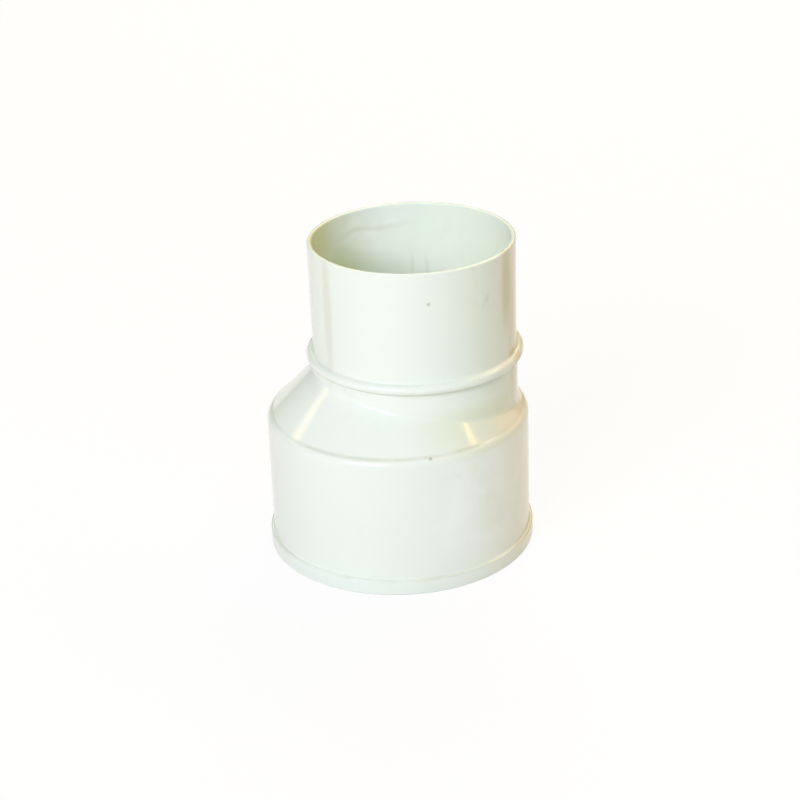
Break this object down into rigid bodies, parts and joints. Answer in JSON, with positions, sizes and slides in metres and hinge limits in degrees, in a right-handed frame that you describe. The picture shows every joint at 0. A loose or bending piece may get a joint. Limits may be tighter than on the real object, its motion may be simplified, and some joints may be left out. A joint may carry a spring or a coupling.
{
  "type": "eccentric reducer",
  "caption": "Eccentric pipe reducer: a wide solvent-weld socket narrows through a lopsided cone to an offset plain pipe end with a half-round stop bead.",
  "frame": {"origin": "centre of the socket's mouth, in the plane that the reducer stands on", "axes": "+Z along the barrel's axis from the socket's mouth to the neck; +X from the barrel's axis to the neck's, so the level side faces +X"},
  "size_m": [0.1198, 0.1198, 0.1422],
  "materials": {
    "pale_plastic": "glossy rigid plastic, white with a faint mint cast"
  },
  "bodies": {
    "root": {"spigot_neck": "pale_plastic", "stop_ring": "pale_plastic", "eccentric_cone": "pale_plastic", "socket_barrel": "pale_plastic", "mouth_band": "pale_plastic"}
  },
  "joints": []
}
